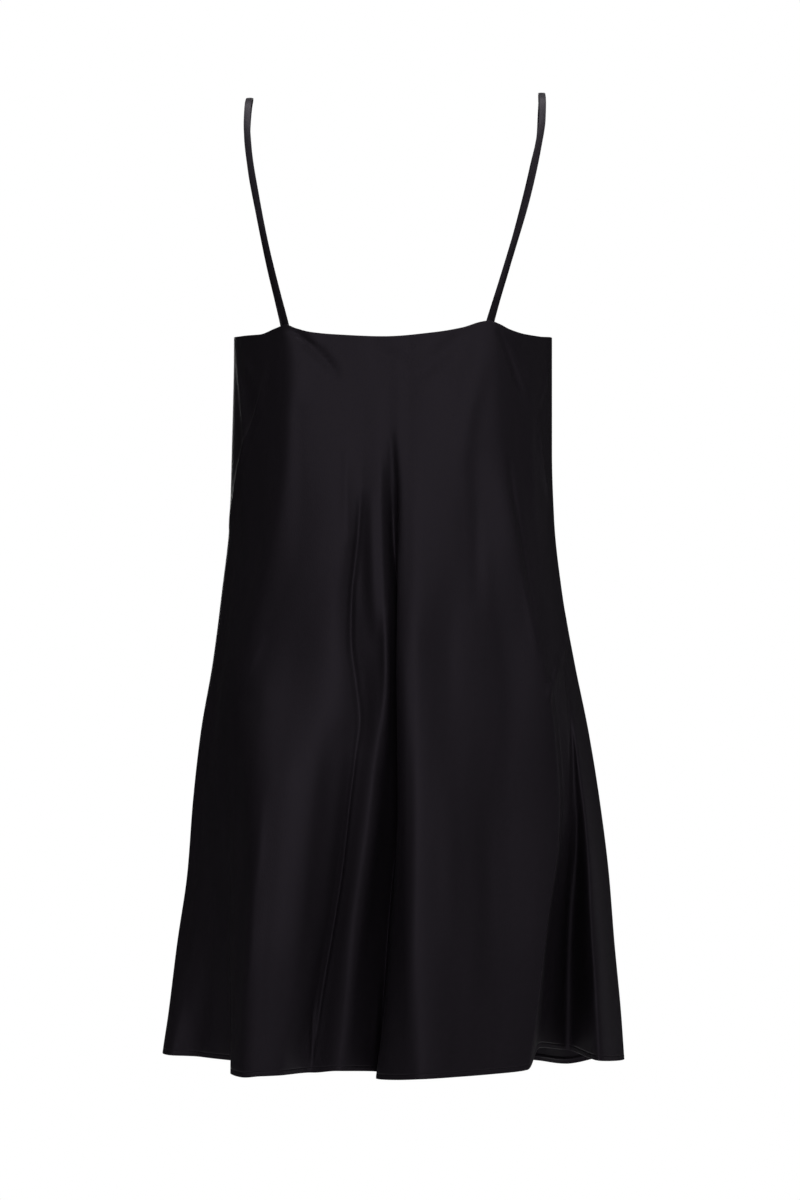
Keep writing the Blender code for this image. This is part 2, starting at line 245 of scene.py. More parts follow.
# %% Fold lines of the front panel
FRONT_LINES = (
    FoldLine("seam_right", 0, (-100,) * EACH, (0,) * EACH, -865.0),
    FoldLine("side_right", 4, (-92, -92, -92, -92, -92, -92, -92), (0, 0, 0, 0, 1, 5, 10), -872.5),
    FoldLine("recess_right", 7, (-78, -79, -80, -81, -80, -78, -77), (0, 0, 0, 1, 7, 18, 30), -881.0),
    FoldLine("edge_right", 10, (-64, -66, -68, -69, -69, -67, -65), (-2, -2, 0, 0, 0, 2, 6), -883.4),
    FoldLine("bulge_right", 14, (-45, -45, -46, -47, -49, -50, -50), (0, -1, -1, -2, -2, -1, 2), -882.6),
    FoldLine("valley_right", 18, (-28, -27, -26, -26, -29, -33, -36), (0, 0, 2, 7, 16, 28, 40), -880.8),
    FoldLine("ridge_right", 21, (-15, -13, -12, -11, -14, -18, -21), (0, 0, 0, 0, 1, 4, 8), -879.6),
    FoldLine("face_mid", 25, (4, 5, 6, 6, 4, 2, 0), (1, 0, -1, -1, -1, 0, 3), -878.0),
    FoldLine("valley_left", 29, (22, 22, 23, 23, 22, 20, 18), (0, 0, 0, 3, 11, 21, 31), -876.4),
    FoldLine("ridge_left", 32, (33, 33, 33, 33, 33, 33, 32), (0, 0, 0, 0, 1, 4, 8), -875.0),
    FoldLine("bulge_left", 36, (52, 51, 51, 50, 51, 53, 53), (0, -1, -1, -2, -2, 0, 3), -872.2),
    FoldLine("recess_left", 40, (71, 72, 73, 73, 71, 70, 69), (-2, -2, 0, 0, 6, 17, 30), -869.4),
    FoldLine("edge_left", 43, (82, 82, 82, 82, 81, 80, 80), (0, 0, 0, 0, 1, 5, 10), -867.0),
    FoldLine("side_left", 46, (92, 92, 92, 92, 91, 91, 91), (0, 0, 0, 0, 1, 5, 12), -864.0),
    FoldLine("seam_left", 49, (100,) * EACH, (0,) * EACH, -859.6),
)
print("fold lines of the front panel:", [line.name for line in FRONT_LINES])

# %% Top edges
EdgePoint = namedtuple("EdgePoint", "across height")
BACK_EDGE = (
    EdgePoint(-143, -217.6),
    EdgePoint(-131, -219.2),
    EdgePoint(-118, -218.4),
    EdgePoint(-104, -215.0),
    EdgePoint(-93, -209.9),
    EdgePoint(-85, -207.4),
    EdgePoint(-77, -208.6),
    EdgePoint(-62, -213.4),
    EdgePoint(-36, -218.0),
    EdgePoint(8, -221.6),
    EdgePoint(52, -219.8),
    EdgePoint(72, -217.8),
    EdgePoint(85, -214.6),
    EdgePoint(94, -211.4),
    EdgePoint(103, -214.0),
    EdgePoint(118, -218.6),
    EdgePoint(131, -218.4),
    EdgePoint(144, -217.0),
)
FRONT_EDGE = (
    EdgePoint(-143, -217.6),
    EdgePoint(-120, -214.4),
    EdgePoint(-100, -205.2),
    EdgePoint(-90, -202.6),
    EdgePoint(-80, -205.2),
    EdgePoint(-50, -219.4),
    EdgePoint(6, -231.0),
    EdgePoint(60, -219.4),
    EdgePoint(91, -205.2),
    EdgePoint(101, -202.6),
    EdgePoint(111, -205.2),
    EdgePoint(127, -213.6),
    EdgePoint(144, -217.0),
)

Panel = namedtuple("Panel", "name side lines edge depth")  # side: 1 lies towards +Y, -1 towards -Y
PANELS = (
    Panel("back_panel", 1, BACK_LINES, BACK_EDGE, "back"),
    Panel("front_panel", -1, FRONT_LINES, FRONT_EDGE, "front"),
)
BACK, FRONT = PANELS
SEAM_GAP = 0.02  # from a side seam's middle to each panel: here the seam is sewn shut
print("points of the top edges:", [(panel.name, len(panel.edge)) for panel in PANELS])

# %% [markdown]
# ## Reading the tables
#
# A smooth curve that never swings past its points joins the rows of every table. A Bezier curve or a spline
# would be shorter to write, but it overshoots where a fold ends and would add folds of its own.

# %% A curve through a table
def curve(places, values, where):
    """Read a smooth curve through the values, one that never swings past them, at one place or several."""
    places = np.asarray(places, float)
    values = np.asarray(values, float)
    steps = np.diff(places)
    wide = steps.reshape([-1] + [1] * (values.ndim - 1))
    slopes = np.diff(values, axis=0) / wide
    tangents = np.concatenate([slopes[:1], np.zeros_like(slopes[1:]), slopes[-1:]])
    before, after = slopes[:-1], slopes[1:]
    agree = before * after > 0
    safe_before = np.where(agree, before, 1.0)
    safe_after = np.where(agree, after, 1.0)
    weight_a = 2 * wide[1:] + wide[:-1]
    weight_b = wide[1:] + 2 * wide[:-1]
    mean = (weight_a + weight_b) / (weight_a / safe_before + weight_b / safe_after)
    tangents[1:-1] = np.where(agree, mean, 0.0)
    piece = np.clip(np.searchsorted(places, where, side="right") - 1, 0, len(steps) - 1)
    step = steps[piece]
    t = (where - places[piece]) / step
    start = (1 + 2 * t) * (1 - t) ** 2 * values[piece]
    end = t**2 * (3 - 2 * t) * values[piece + 1]
    lean = t * (1 - t) ** 2 * tangents[piece] - t**2 * (1 - t) * tangents[piece + 1]
    return start + end + lean * step


print("half way up a step:", curve((0, 1, 2), (0, 1, 1), np.array([0.5])))

# %% [markdown]
# ### Points of a section
#
# Across the dress the sections are rounded, so the places are turned to angles first. `section_points` then
# gives the points of one line down the cloth, and `column_ends` says where that line starts and ends.

# %% Sections
def down(table, field, heights):
    """Read one column of a table that goes down the dress at the given heights."""
    levels = [-row.height for row in table]
    return curve(levels, [getattr(row, field) for row in table], -np.asarray(heights, float))


def edge_height(panel, across):
    """The height of a panel's top edge at a place across."""
    return curve([p.across for p in panel.edge], [p.height for p in panel.edge], across)


def line_values(panel, field, heights):
    """One field of every fold line at the given heights: an array of lines by heights."""
    levels = [-height for height in FOLD_HEIGHTS]
    drops = np.clip(-heights, levels[0], levels[-1])
    return np.array([curve(levels, getattr(line, field), drops) for line in panel.lines])


def section_points(panel, column, heights):
    """Points across, depth and height of one column of a panel, at the given heights."""
    columns = [line.column for line in panel.lines]
    shares = np.clip(line_values(panel, "across", heights) / 100, -1, 1)
    angles = np.arcsin(np.sign(shares) * np.abs(shares) ** (ROUNDNESS / 2))
    angle = curve(columns, angles, column)
    set_back = curve(columns, line_values(panel, "set_back", heights), column)
    half = np.where(angle > 0, down(FORM, "left", heights), down(FORM, "right", heights))
    across = half * np.sign(angle) * np.abs(np.sin(angle)) ** (2 / ROUNDNESS)
    full = down(FORM, panel.depth, heights) * np.abs(np.cos(angle)) ** (2 / ROUNDNESS)
    depth = panel.side * np.maximum(full - set_back, SEAM_GAP)
    return np.stack([across, depth, heights], axis=-1)


def column_ends(panel, column):
    """The heights of the hem and of the top edge at one column of a panel."""
    across_top = section_points(panel, column, np.array(FOLD_HEIGHTS[:1], float))[0, 0]
    high = edge_height(panel, across_top)
    low = curve([line.column for line in panel.lines], [line.hem for line in panel.lines], column)
    return float(low), float(high)


for panel in PANELS:
    ends = [column_ends(panel, line.column) for line in panel.lines]
    print(panel.name, "lengths:", [round(high - low) for low, high in ends], "mm")

# %% [markdown]
# ## The grid of a panel
#
# Each panel starts as a flat grid of faces, whose points are then set on the form. The columns stand closer
# where the folds are tight, and the rows stand closer at the hem and at the top edge, where the cloth is
# turned and stitched. Everything that lies on a panel later is made from these same points.

# %% Points of a panel
FINE_COLUMNS = 276
SPACING_STEPS = 40  # places to a column of the tables at which the spacing is worked out
TIGHT_SPREAD = 1.6  # in columns of the tables
Tight = namedtuple("Tight", "column more")  # more: how many more columns there are at this one
TIGHT = {
    "back_panel": (Tight(27, 1.4), Tight(11, 0.6), Tight(42, 0.9), Tight(20, 2.2), Tight(46, 0.4)),
    "front_panel": (Tight(18, 0.6), Tight(29, 0.6), Tight(7, 0.4), Tight(40, 0.4)),
}
HEM_ROWS = (0, 0.5, 1.1, 2.0, 3.0, 3.8, 4.3, 4.8, 5.6, 7.0, 9.0, 11.6)  # mm up from the edge
EDGE_ROWS = (0, 0.4, 0.9, 1.8, 3.2, 5.0, 6.6, 7.6, 8.8, 11.0)  # mm down from the top edge
MIDDLE_ROWS = 140
SMALLEST = 1e-9  # keeps a length that is divided by away from nought


def fine_columns(panel):
    """Where the columns of the fine grid lie, in columns of the tables."""
    last = panel.lines[-1].column
    places = np.linspace(0, last, SPACING_STEPS * last + 1)
    density = np.ones_like(places)
    for tight in TIGHT[panel.name]:
        density += tight.more * np.exp(-(((places - tight.column) / TIGHT_SPREAD) ** 2))
    travelled = np.concatenate([[0], np.cumsum((density[1:] + density[:-1]) / 2)])
    return np.interp(np.linspace(0, travelled[-1], FINE_COLUMNS + 1), travelled, places)


def row_heights(low, high):
    """Heights of the rows of one column, from the hem to the top edge."""
    hem = low + np.array(HEM_ROWS, float)
    top = high - np.array(EDGE_ROWS[::-1], float)
    middle = np.linspace(hem[-1], top[0], MIDDLE_ROWS + 2)[1:-1]
    return np.concatenate([hem, middle, top])


def panel_points(panel):
    """The points of a panel's outer face: rows from the hem up, by columns."""
    columns = fine_columns(panel)
    found = [section_points(panel, column, row_heights(*column_ends(panel, column))) for column in columns]
    return np.stack(found, axis=1)


def face_normals(points):
    """The outward direction at each point of a grid of rows by columns."""
    normals = np.cross(np.gradient(points, axis=1), np.gradient(points, axis=0))
    return normals / np.maximum(np.linalg.norm(normals, axis=-1, keepdims=True), SMALLEST)


plain_points = {panel.name: panel_points(panel) for panel in PANELS}
for name, points in plain_points.items():
    outward = face_normals(points)[..., 1].mean()
    print(name, points.shape[:2], "rows by columns, normals along Y:", round(float(outward), 2))

# %% [markdown]
# ## Creases
#
# Satin breaks into small folds over the large ones: where a strap pulls, along the edge of a pleat, and in
# thin lines that run with the thread. Each is written as a path down the cloth, with its own width and
# height, and is laid over the form as a soft ridge or trough. All sizes are in millimetres. A path gives
# places across the dress, plus to the wearer's left, and heights, and a height less than 0 makes a trough.

# %% Creases of the back panel
Crease = namedtuple("Crease", "name width height path")
BACK_CREASES = (
    Crease("streak_left_outer", 2.2, 2.6, (
        (139.5, -231), (135.9, -257), (133.2, -277), (131.5, -297), (131.5, -319),
    )),
    Crease("streak_left_inner", 2.2, 2.6, (
        (110.3, -248), (115.6, -272), (120.9, -289), (126.2, -304), (130.6, -316), (135, -331),
        (138.5, -347), (142.9, -369), (147.4, -391),
    )),
    Crease("hook_left", 2.2, 0.9, ((137.4, -242), (130.4, -246), (125.9, -254), (124.1, -266))),
    Crease("dent_left", 4.5, -1.1, ((123.5, -269), (124.4, -287), (125.3, -306))),
    Crease("groove_root_left", 3.4, -2.2, (
        (96.2, -214), (83.1, -220), (71.7, -230), (59.4, -242), (46.3, -258),
    )),
    Crease("swell_root_left", 8, 1.3, ((84.8, -223), (83.1, -251), (84.8, -285))),
    Crease("dent_neck_upper", 6, -0.7, ((14.7, -234), (0.7, -240), (-13.3, -241))),
    Crease("dent_neck_lower", 6, -0.7, ((-2.8, -249), (-17.7, -254), (-36.1, -251))),
    Crease("cowl_band_right", 8, -1.1, ((-67.6, -214), (-46.6, -234), (-22.1, -255))),
    Crease("break_right", 8, 1, ((-81.7, -227), (-74.7, -260), (-65, -304), (-60.6, -342))),
    Crease("groove_root_right", 2.8, -2.2, (
        (-92.3, -214), (-98.4, -229), (-104.6, -244), (-110.7, -261), (-116.9, -274), (-123, -285),
    )),
    Crease("groove_second_right", 2.8, -1.1, ((-97.6, -219), (-110.8, -237), (-119.6, -256))),
    Crease("streak_right_upper", 2, 1.8, ((-139.2, -237), (-136.5, -253), (-133, -271), (-130.3, -279))),
    Crease("streak_right_lower", 2.2, 2, (
        (-129.2, -287), (-131, -320), (-132.8, -334), (-136.3, -352), (-140.7, -371),
    )),
    Crease("crease_long_right", 2.6, -2, (
        (-102.1, -326), (-105.6, -356), (-110, -378), (-115.3, -406), (-120.6, -438), (-127.6, -476),
    )),
    Crease("lip_long_right", 3, 0.7, ((-113.4, -431), (-119.6, -460), (-127.5, -505))),
    Crease("band_soft_right", 7, -1.2, ((-71, -320), (-74.5, -383), (-73.7, -462))),
    Crease("ridge_hair_left", 3.6, 0.5, ((39.2, -313), (40.9, -357), (40.1, -407))),
    Crease("dip_mid", 10, -3, (
        (35.6, -400), (36.5, -453), (35.6, -488), (31.3, -523), (27.8, -558), (28.6, -589),
    )),
    Crease("fold_inner", 2.4, -2, (
        (27.8, -357), (29.5, -383), (32.2, -418), (35.7, -453), (36.5, -488), (32.2, -523), (28.7, -558),
        (31.3, -589),
    )),
    Crease("ridge_thin_low", 5, 2.2, (
        (5.9, -575), (10.2, -606), (13.7, -636), (21.6, -688), (29.4, -749), (35.5, -801), (39.8, -855),
    )),
    Crease("valley_floor", 1.8, -2.2, (
        (30.3, -563), (32.9, -592), (37.3, -627), (44.3, -688), (53.9, -749), (62.6, -802), (68.7, -847),
    )),
    Crease("ridge_knot", 4, 2.4, ((6.8, -458), (5.9, -496), (5, -531), (5.9, -566), (8.5, -606))),
    Crease("ridge_mid_upper", 6, 2, ((19, -353), (18.2, -400), (17.3, -444), (13.8, -488))),
    Crease("wall_soft_low", 8, 3, (
        (40.6, -574), (47.6, -627), (55.4, -687), (65.8, -748), (72.8, -787), (79.7, -832),
    )),
    Crease("pleat_hem", 1.8, -1.6, ((68.5, -802), (69.4, -827), (70.2, -858))),
    Crease("tip_trough", 3.6, -2.2, ((1.6, -304), (-0.2, -330), (-1.9, -365), (-1.9, -418))),
    Crease("shoulder_bulge", 4, 1.2, (
        (113.2, -617), (115.8, -669), (121.8, -717), (123.6, -756), (127.9, -799), (132.2, -849),
    )),
    Crease("diagonal_left", 3.5, 0.8, ((111.1, -481), (123.4, -507), (135.6, -537))),
    Crease("swell_flap_left", 5, 1.2, ((175.1, -675), (176.9, -746), (178.7, -822))),
    Crease("crease_flap_left", 3, -1, ((160.7, -701), (164.2, -773), (166, -854))),
    Crease("lip_mid_low", 2, 0.9, ((11.9, -778), (14.5, -826), (16.3, -864))),
    Crease("glint_right_upper", 2.4, 2.4, ((-151, -463), (-152.8, -488), (-151, -509))),
    Crease("glint_right_lower", 2.6, 2.2, ((-147.2, -504), (-141.9, -523), (-136.6, -541))),
    Crease("crease_side_right", 2.4, -2, (
        (-151.7, -483), (-155.3, -523), (-158.8, -576), (-159.7, -620), (-158.8, -664),
    )),
    Crease("lip_round", 5, 2.2, (
        (-8, -487), (-9.8, -540), (-10.6, -592), (-12.4, -687), (-13.2, -748), (-14.1, -857),
    )),
    Crease("recess_crack", 2.4, -2.4, (
        (-159, -649), (-158.2, -703), (-157.3, -748), (-155.5, -801), (-153.7, -855),
    )),
    Crease("crease_underlap", 2.6, -1, ((-146.3, -761), (-137.5, -796), (-129.5, -831))),
    Crease("dent_flap_right", 5.5, -1.6, ((-172.3, -722), (-174.1, -766), (-173.2, -810))),
    Crease("ripple_face_upper", 9, 0.7, ((-46.2, -591), (-49.6, -678), (-54, -765))),
    Crease("ripple_face_lower", 8, -0.7, ((-80.8, -626), (-84.3, -713), (-86.9, -808))),
)
print("creases of the back panel:", len(BACK_CREASES))

# %% Creases of the front panel
FRONT_CREASES = (
    Crease("cowl_first", 6, -1.8, ((-78, -214), (-46, -240), (0, -252), (46, -241), (84, -214))),
    Crease("cowl_second", 7, -1.5, ((-70, -226), (-34, -262), (8, -274), (50, -256), (80, -228))),
    Crease("cowl_third", 8, -1, ((-44, -272), (-8, -296), (34, -292), (62, -266))),
    Crease("groove_root_left", 3.2, -1.3, ((101, -206), (92, -226), (78, -246), (60, -262))),
    Crease("groove_root_right", 3, -1.2, ((-90, -206), (-82, -224), (-72, -240))),
    Crease("streak_left_upper", 2.2, 1, ((132, -232), (128, -262), (124, -290))),
    Crease("streak_left_lower", 2.4, 1.1, ((120, -282), (127, -322), (134, -370), (141, -404))),
    Crease("streak_right_upper", 2.2, 1, ((-131, -236), (-126, -268), (-122, -286))),
    Crease("streak_right_lower", 2.4, 1.2, ((-112, -258), (-122, -300), (-132, -352), (-143, -402))),
    Crease("crease_long_left", 3, -1.3, ((96, -330), (104, -392), (112, -446), (124, -508))),
    Crease("crease_long_right", 3, -1.3, ((-98, -342), (-105, -398), (-116, -462), (-126, -522))),
    Crease("band_soft_mid", 7, -1.1, ((14, -330), (16, -400), (13, -480))),
    Crease("band_soft_left", 6, -1.3, ((52, -380), (55, -450), (52, -528))),
    Crease("diagonal_right", 3.6, 0.9, ((-70, -470), (-84, -500), (-98, -534))),
    Crease("ridge_left_low", 2.8, 1, ((68, -560), (70, -660), (69, -760), (67, -856))),
    Crease("ridge_right_low", 2.8, 1, ((-30, -540), (-34, -640), (-40, -740), (-44, -862))),
    Crease("valley_right_low", 3.8, -1.4, ((-66, -600), (-74, -690), (-80, -790), (-84, -850))),
    Crease("valley_left_low", 3.8, -1.4, ((40, -610), (38, -700), (34, -800), (33, -852))),
    Crease("crease_side_left", 2.6, -1.3, ((146, -470), (156, -560), (162, -650))),
    Crease("crease_side_right", 2.6, -1.3, ((-148, -486), (-160, -580), (-166, -660))),
    Crease("dent_hem_left", 5.5, -1.4, ((118, -760), (122, -810), (121, -850))),
    Crease("dent_hem_right", 5.5, -1.4, ((-126, -748), (-130, -800), (-128, -846))),
)
CREASES = {"back_panel": BACK_CREASES, "front_panel": FRONT_CREASES}
print("creases of the front panel:", len(FRONT_CREASES))

# %% [markdown]
# ### How far a crease lifts the cloth
#
# A crease could be sculpted, but a table of paths can be read and changed. Each place of the cloth looks for
# the nearest point of the path. The lift is greatest there and falls away like a bell curve, so a crease has
# no hard edge, and it fades along the path towards both of its ends.

# %% Lift of the creases
CREASE_STEPS = 20
CREASE_FADE = 0.7  # less than 1 keeps more of the height near the ends


def crease_path(crease):
    """The crease's path as a smooth line of many points."""
    knots = np.array(crease.path, float)
    lengths = np.linalg.norm(np.diff(knots, axis=0), axis=1)
    travelled = np.concatenate([[0], np.cumsum(lengths)])
    wanted = np.linspace(0, travelled[-1], CREASE_STEPS + 1)
    return np.stack([curve(travelled, knots[:, axis], wanted) for axis in range(2)], axis=-1)


def crease_lift(across, heights, crease):
    """How far a crease lifts each place of the cloth, in mm: less than 0 is a trough."""
    path = crease_path(crease)
    nearest = np.full(across.shape, np.inf)
    along = np.zeros(across.shape)
    for index, (start, end) in enumerate(zip(path[:-1], path[1:])):
        run = end - start
        beside, above = across - start[0], heights - start[1]
        share = np.clip((beside * run[0] + above * run[1]) / (run @ run), 0, 1)
        gap = np.hypot(beside - share * run[0], above - share * run[1])
        closer = gap < nearest
        nearest = np.where(closer, gap, nearest)
        along = np.where(closer, (index + share) / CREASE_STEPS, along)
    fade = np.sin(np.pi * np.clip(along, 0, 1)) ** CREASE_FADE
    return crease.height * fade * np.exp(-((nearest / crease.width) ** 2))


for name, creases in CREASES.items():
    heights = [crease.height for crease in creases]
    print(name, "creases from", min(heights), "to", max(heights), "mm")

# %% [markdown]
# ## Cloth with a wall
#
# Along the hem and the top edge the cloth is turned under, so the wall is thicker there. A row of stitches
# pulls the hem in a little, and beside a side seam the cloth is held flat, so the creases fade out before it.

# %% Turned edges and creased points
CLOTH_WALL = 0.5
TURNED_WALL = 1.2
HEM_DEPTH = 5.0
EDGE_DEPTH = 8.0
TURN_REACH = 0.6  # how far past the turn's depth its thickness starts to go
HEM_BLEND = 0.8  # over this distance the wall goes from turned to single
EDGE_BLEND = 1.2
SEAM_CALM = 7.0  # creases fade out over this distance from a side seam
STITCH_ROW = HEM_ROWS.index(4.3)  # the hem's stitches lie along this row
STITCH_FURROW = 0.35  # how far they pull the cloth in


def turned_share(low, high):
    """1 where the cloth of a column is turned under, 0 where it is single."""
    heights = row_heights(low, high)
    from_hem = np.clip((HEM_DEPTH + TURN_REACH - (heights - low)) / HEM_BLEND, 0, 1)
    from_top = np.clip((EDGE_DEPTH + TURN_REACH - (high - heights)) / EDGE_BLEND, 0, 1)
    return np.maximum(from_hem, from_top)


def creased_points(panel):
    """The panel's points with its creases laid over the form."""
    points = plain_points[panel.name]
    lift = np.zeros(points.shape[:2])
    for crease in CREASES[panel.name]:
        lift += crease_lift(points[..., 0], points[..., 2], crease)
    lift[STITCH_ROW] -= STITCH_FURROW
    steps = np.linalg.norm(np.diff(points, axis=1), axis=-1)
    travelled = np.concatenate([np.zeros((len(points), 1)), np.cumsum(steps, axis=1)], axis=1)
    from_seam = np.minimum(travelled, travelled[:, -1:] - travelled)
    lift *= np.clip(from_seam / SEAM_CALM, 0, 1)
    return points + face_normals(points) * lift[..., None]


cloth_points = {panel.name: creased_points(panel) for panel in PANELS}
for name, points in cloth_points.items():
    moved = np.linalg.norm(points - plain_points[name], axis=-1).max()
    print(name, "moved by its creases:", round(float(moved), 1), "mm at most")

# %% [markdown]
# ### A sheet on a grid
#
# The points are placed on a grid made by Blender, which also gets a map of the cloth in real metres, across
# and along, for the weave to follow. The wall could be built by hand from two faces and a rim, but a Solidify
# modifier does the same, inward from the face that is seen, and a vertex group tells it where the cloth is
# double.

# %% Make the panels
def make_cloth(name, points, wall, thickness_share=None):
    """A named sheet on a grid of points in mm, rows by columns, with its wall inward and a map in metres."""
    rows, columns = points.shape[:2]
    bm = bmesh.new()
    bmesh.ops.create_grid(bm, x_segments=columns - 1, y_segments=rows - 1, size=0.5)
    bm.verts.ensure_lookup_table()
    across = np.linalg.norm(np.diff(points, axis=1), axis=-1).cumsum(axis=1)
    across = np.concatenate([np.zeros((rows, 1)), across], axis=1)
    across -= across[:, columns // 2, None]
    along = np.linalg.norm(np.diff(points, axis=0), axis=-1).cumsum(axis=0)
    along = np.concatenate([np.zeros((1, columns)), along], axis=0)
    mapped = np.stack([across, along], axis=-1).reshape(-1, 2) * MM
    for vertex, point in zip(bm.verts, points.reshape(-1, 3)):
        vertex.co = point * MM
    cloth_map = bm.loops.layers.uv.new("cloth")
    for face in bm.faces:
        for corner in face.loops:
            corner[cloth_map].uv = mapped[corner.vert.index]
    bm.normal_update()
    mesh = bpy.data.meshes.new(name)
    bm.to_mesh(mesh)
    bm.free()
    mesh.shade_smooth()
    thing = bpy.data.objects.new(name, mesh)
    scene.collection.objects.link(thing)
    solid = thing.modifiers.new("wall", "SOLIDIFY")
    solid.thickness = wall * MM
    solid.offset = -1
    solid.use_even_offset = True
    if thickness_share is not None:
        group = thing.vertex_groups.new(name="turned")
        for index, share in enumerate(thickness_share.reshape(-1)):
            if share > 0:
                group.add([index], float(share), "REPLACE")
        solid.vertex_group = "turned"
        solid.thickness_vertex_group = CLOTH_WALL / wall
    return thing


cloths = {}
for panel in PANELS:
    ends = [column_ends(panel, column) for column in fine_columns(panel)]
    turned = np.stack([turned_share(low, high) for low, high in ends], axis=1)
    cloths[panel.name] = make_cloth(panel.name + "_satin", cloth_points[panel.name], TURNED_WALL, turned)
    print(cloths[panel.name].name, len(cloths[panel.name].data.polygons), "faces before the wall")

# %% [markdown]
# ## The straps
#
# A strap is a narrow tube of the same satin, pressed flat. Its ends go down behind the top edge, where they
# are sewn. Each strap is a row of points along the middle of its outer face, from the back over the shoulder
# to the front, and a place along the top edge at each end.

# %% Tables of the straps
StrapPoint = namedtuple("StrapPoint", "across depth height")
Strap = namedtuple("Strap", "name back_root points front_root")
STRAPS = (
    Strap(
        "strap_left",
        95.0,
        (
            StrapPoint(101.5, 82, -184),
            StrapPoint(112.0, 81, -141),
            StrapPoint(120.5, 72, -98),
            StrapPoint(127.8, 57, -53),
            StrapPoint(129.6, 44, -28),
            StrapPoint(129.2, 25, -8),
            StrapPoint(128.6, 0, -1.0),
            StrapPoint(131.0, -26, -8),
            StrapPoint(133.2, -46, -29),
            StrapPoint(130.6, -61, -58),
            StrapPoint(123.8, -76, -98),
            StrapPoint(115.2, -87, -143),
            StrapPoint(107.6, -92, -176),
        ),
        102.8,
    ),
    Strap(
        "strap_right",
        -85.6,
        (
            StrapPoint(-92.6, 82, -184),
            StrapPoint(-105.8, 82.5, -141),
            StrapPoint(-118.2, 74, -98),
            StrapPoint(-128.2, 58, -53),
            StrapPoint(-132.6, 44, -26),
            StrapPoint(-133.6, 25, -4),
            StrapPoint(-133.6, 0, 3.6),
            StrapPoint(-134.6, -26, -4),
            StrapPoint(-134.2, -46, -26),
            StrapPoint(-128.2, -61, -56),
            StrapPoint(-118.2, -77, -98),
            StrapPoint(-106.0, -90, -143),
            StrapPoint(-96.4, -97, -176),
        ),
        -90.4,
    ),
)
print("points of the straps:", [(strap.name, len(strap.points)) for strap in STRAPS])

# %% [markdown]
# ### Behind the top edge
#
# A strap's end lies a little way inside the panel and parallel with it. So the panel's face is read at the
# place where the strap goes down, for its depth and for the way it is turned.

# %% Tucked ends
WALL = 1.2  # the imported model's own panel wall
STRAP_WIDTH = 6.0
SEW_GAP = 0.7  # between a panel's inner face and a strap that is sewn to it
TUCK = 12.0  # how far a strap's end goes down behind the top edge
TUCK_KNOTS = 3


def face_depth(panel, places, heights):
    """The depth of a panel's outer face at places across, each with its height."""
    count = panel.lines[-1].column
    points = np.stack([section_points(panel, column, heights) for column in range(count + 1)])
    rising = points[:: -panel.side]
    found = [np.interp(place, rising[:, row, 0], rising[:, row, 1]) for row, place in enumerate(places)]
    return np.array(found)


def turn_of(panel, across, height):
    """The angle about Z by which a panel's face is turned sideways at a place across."""
    places = np.array([across - STRAP_WIDTH / 2, across + STRAP_WIDTH / 2])
    depth = face_depth(panel, places, np.full(2, height))
    return math.atan2(depth[1] - depth[0], STRAP_WIDTH)


def tucked_points(panel, root, above, count):
    """A strap's outer face behind a panel, from its tip up to the top edge, in line with the point above."""
    edge = float(edge_height(panel, root))
    heights = np.linspace(edge - TUCK, edge, count)
    places = root + (heights - edge) * (above.across - root) / (above.height - edge)
    turn = turn_of(panel, root, edge)
    inset = panel.side * (WALL + SEW_GAP)
    depth = face_depth(panel, places, heights) - inset * math.cos(turn)
    return np.stack([places + inset * math.sin(turn), depth, heights], axis=-1)


for strap in STRAPS:
    tip = tucked_points(BACK, strap.back_root, strap.points[0], TUCK_KNOTS)[0]
    print(strap.name, "has its tip at the back at", tip.round(1), "mm")

# %% [markdown]
# ### From a line to a band
#
# A bevelled curve could make a strap, but it twists where the line bends, and a sewn strap doesn't. So each
# step of the line gets its own direction across the face, which turns slowly from the back panel's, past
# level on the shoulder, to the front panel's. The band's face is a little domed, and its wall comes from
# Solidify as well.

# %% Make the straps
STRAP_WALL = 1.3
STRAP_TURN_SHARES = (0, 0.08, 0.5, 0.92, 1)  # shares of the length between which a strap turns to lie flat
STRAP_STEPS = 230
STRAP_SECTION = (-1, -0.93, -0.75, -0.4, 0, 0.4, 0.75, 0.93, 1)  # places across, in half widths
STRAP_CROWN = 0.35  # how far the edges of a strap's face lie in from its middle


def strap_line(strap):
    """The middle of a strap's outer face, from its tip at the back over the shoulder to the front."""
    back = tucked_points(BACK, strap.back_root, strap.points[0], TUCK_KNOTS)
    front = tucked_points(FRONT, strap.front_root, strap.points[-1], TUCK_KNOTS)
    between = np.array([[p.across, p.depth, p.height] for p in strap.points], float)
    knots = np.concatenate([back, between, front[::-1]])
    lengths = np.linalg.norm(np.diff(knots, axis=0), axis=1)
    travelled = np.concatenate([[0], np.cumsum(lengths)])
    wanted = np.linspace(0, travelled[-1], STRAP_STEPS + 1)
    return np.stack([curve(travelled, knots[:, axis], wanted) for axis in range(3)], axis=-1)


def strap_frame(strap):
    """The middle line of a strap, with the directions across its face and out of it."""
    middle = strap_line(strap)
    tangents = np.gradient(middle, axis=0)
    tangents /= np.linalg.norm(tangents, axis=1)[:, None]
    back_turn = turn_of(BACK, strap.back_root, middle[0, 2])
    front_turn = turn_of(FRONT, strap.front_root, middle[-1, 2])
    turns = (back_turn, back_turn, 0, front_turn, front_turn)
    turn = curve(STRAP_TURN_SHARES, turns, np.linspace(0, 1, STRAP_STEPS + 1))
    sideways = np.stack([np.cos(turn), np.sin(turn), np.zeros_like(turn)], axis=-1)
    sideways -= np.sum(sideways * tangents, axis=1)[:, None] * tangents
    sideways /= np.linalg.norm(sideways, axis=1)[:, None]
    return middle, sideways, np.cross(tangents, sideways)


